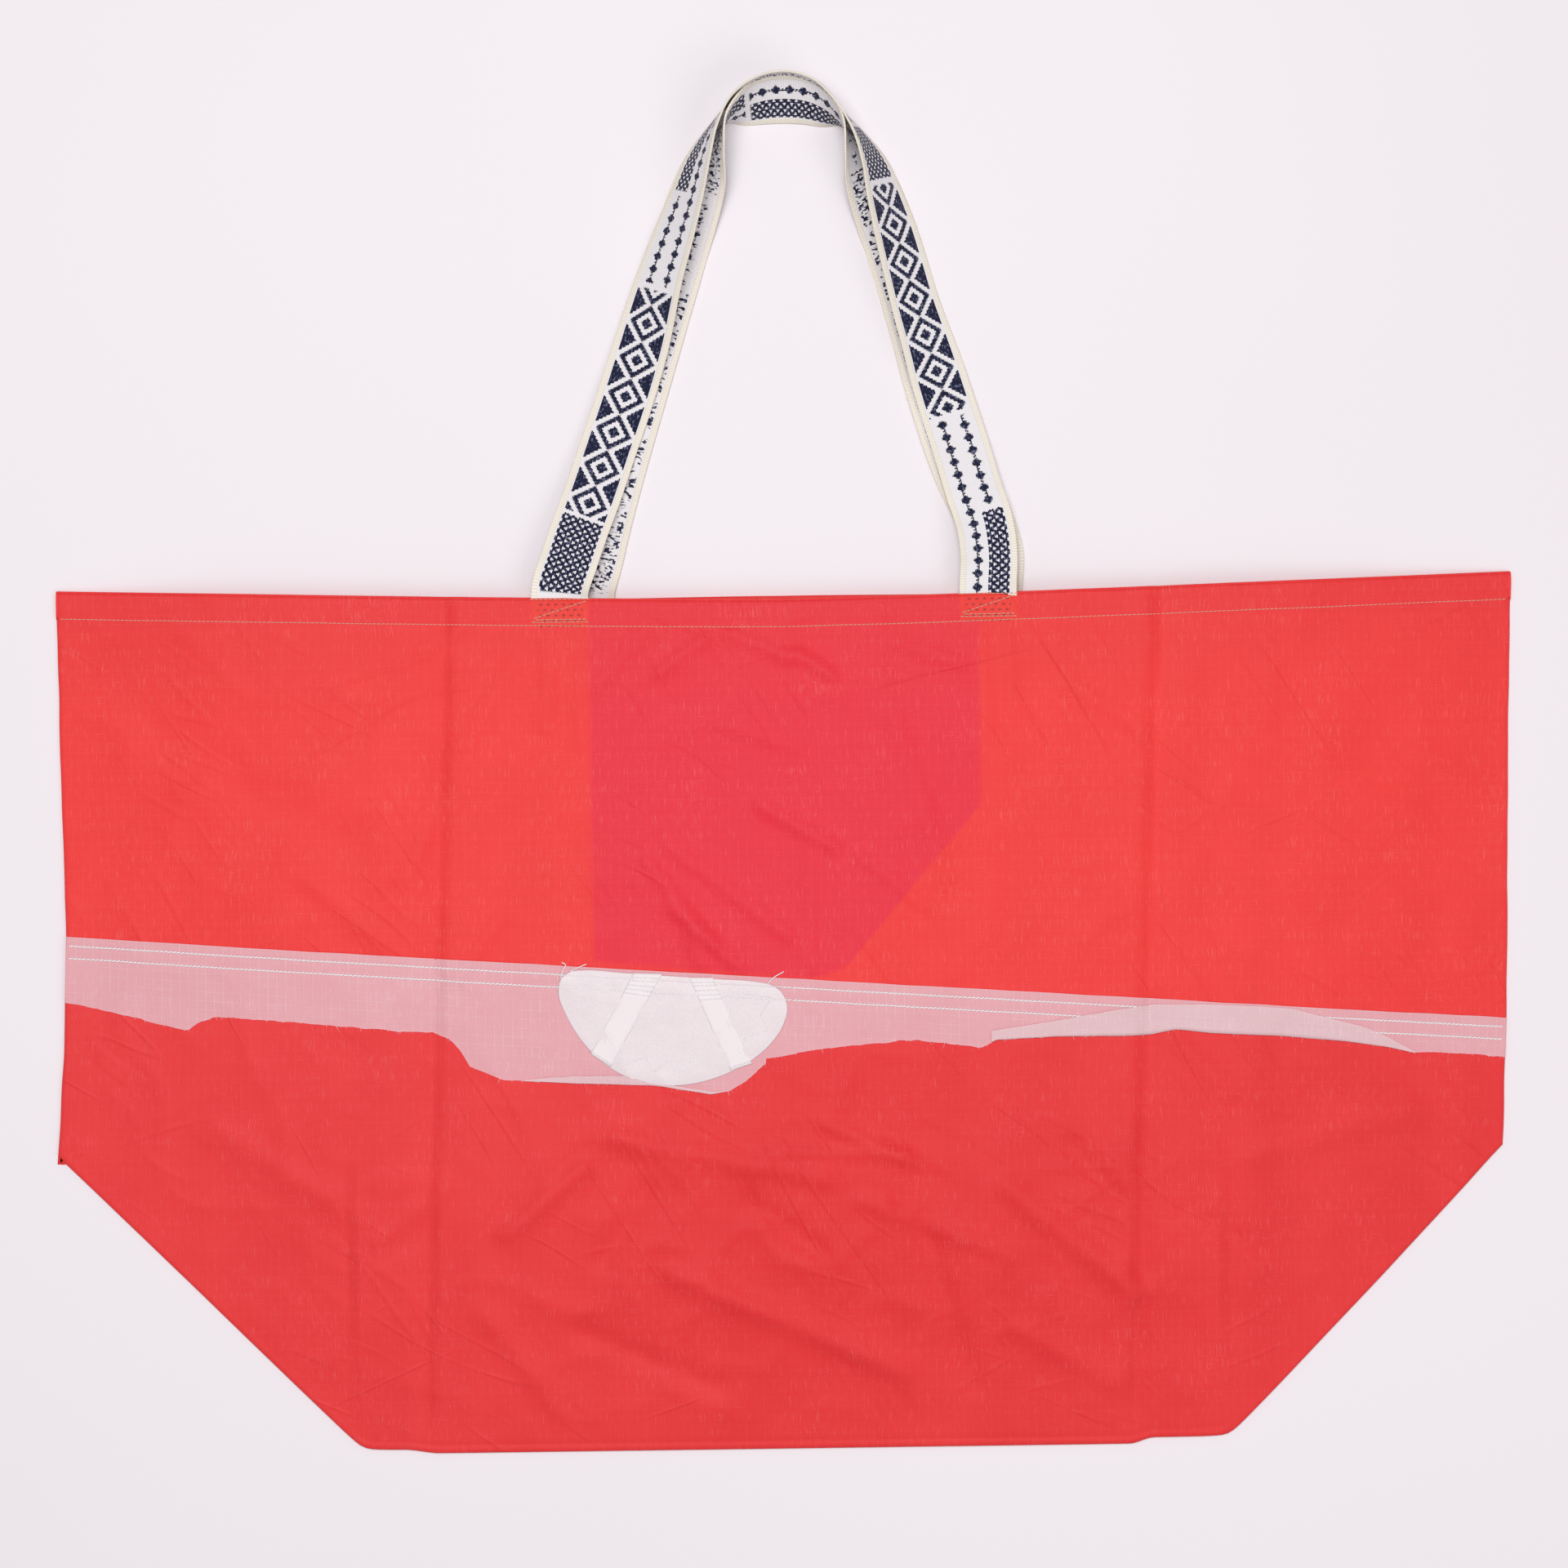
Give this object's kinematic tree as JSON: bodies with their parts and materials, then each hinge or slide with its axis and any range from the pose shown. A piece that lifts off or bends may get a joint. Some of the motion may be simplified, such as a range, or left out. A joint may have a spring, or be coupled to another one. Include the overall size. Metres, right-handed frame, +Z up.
{
  "type": "foldable tote bag",
  "caption": "Foldable tote bag lying flat, with a boxed bottom, slanted reinforced seam, inner pocket, woven tape handles and side thirds that fold over.",
  "frame": {"origin": "middle of the bag's whole outline, handles included, on the surface that the back panel rests on", "axes": "+X along the rim to the right seen from the front, +Y from the bottom fold to the handles, +Z up through the layers to the front panel"},
  "size_m": [0.77, 0.728, 0.0324],
  "materials": {
    "panel_cloth": "semi-matt woven nylon ripstop",
    "lower_cloth": "semi-matt woven nylon ripstop, slightly darker",
    "pocket_cloth": "semi-matt woven nylon, magenta red",
    "strip_cloth": "translucent white ripstop",
    "patch_cloth": "translucent white film-coated cloth",
    "white_tape": "ribbed white tape",
    "handle_webbing": "woven tape with cream selvedges and navy figures",
    "beige_thread": "matt sewing thread",
    "white_thread": "matt sewing thread"
  },
  "bodies": {
    "bag_centre": {"back_handle_end_left": "handle_webbing", "back_handle_end_right": "handle_webbing", "back_handle_stitches": "beige_thread", "back_hem_center": "panel_cloth", "back_lower_center": "panel_cloth", "back_upper_center": "panel_cloth", "bottom_center": "lower_cloth", "front_handle_end_left": "handle_webbing", "front_handle_end_right": "handle_webbing", "front_handle_stitches": "beige_thread", "front_hem_center": "panel_cloth", "front_lower_center": "lower_cloth", "front_upper_center": "panel_cloth", "hem_stitches_center": "beige_thread", "inner_pocket": "pocket_cloth", "loose_threads": "white_thread", "patch_stitches": "white_thread", "patch_tape_left": "white_tape", "patch_tape_right": "white_tape", "reinforcement_patch": "patch_cloth", "rib_strip_center": "strip_cloth", "rib_tail_turnback": "strip_cloth", "rib_turnback_center": "strip_cloth", "seam_stitches_center": "white_thread"},
    "left_wing": {"back_hem_left": "panel_cloth", "back_lower_left": "panel_cloth", "back_upper_left": "panel_cloth", "bottom_left": "lower_cloth", "front_hem_left": "panel_cloth", "front_lower_left": "lower_cloth", "front_upper_left": "panel_cloth", "hem_stitches_left": "beige_thread", "left_gusset": "lower_cloth", "left_side_seam": "panel_cloth", "rib_strip_left": "strip_cloth", "seam_stitches_left": "white_thread"},
    "right_wing": {"back_hem_right": "panel_cloth", "back_lower_right": "panel_cloth", "back_upper_right": "panel_cloth", "bottom_right": "lower_cloth", "front_hem_right": "panel_cloth", "front_lower_right": "lower_cloth", "front_upper_right": "panel_cloth", "hem_stitches_right": "beige_thread", "rib_strip_right": "strip_cloth", "rib_turnback_right": "strip_cloth", "right_gusset": "lower_cloth", "right_side_seam": "panel_cloth", "seam_stitches_right": "white_thread"},
    "front_handle": {"front_handle_tape": "handle_webbing"},
    "back_handle": {"back_handle_tape": "handle_webbing"}
  },
  "joints": [
    {"name": "left_wing_fold", "type": "hinge", "parent": "bag_centre", "child": "left_wing", "pos_m": [-0.183, -0.06, 0.0161], "axis": [0, 1, 0], "range_deg": [0, 178]},
    {"name": "right_wing_fold", "type": "hinge", "parent": "bag_centre", "child": "right_wing", "pos_m": [0.19, -0.06, 0.0248], "axis": [0, -1, 0], "range_deg": [0, 178]},
    {"name": "front_handle_swing", "type": "hinge", "parent": "bag_centre", "child": "front_handle", "pos_m": [0, 0.099, 0.007], "axis": [1, 0, 0], "range_deg": [0, 90]},
    {"name": "back_handle_swing", "type": "hinge", "parent": "bag_centre", "child": "back_handle", "pos_m": [0, 0.099, 0.007], "axis": [1, 0, 0], "range_deg": [0, 90]}
  ],
  "couplings": [
    {"joint": "back_handle_swing", "follows": "front_handle_swing", "ratio": 1}
  ]
}
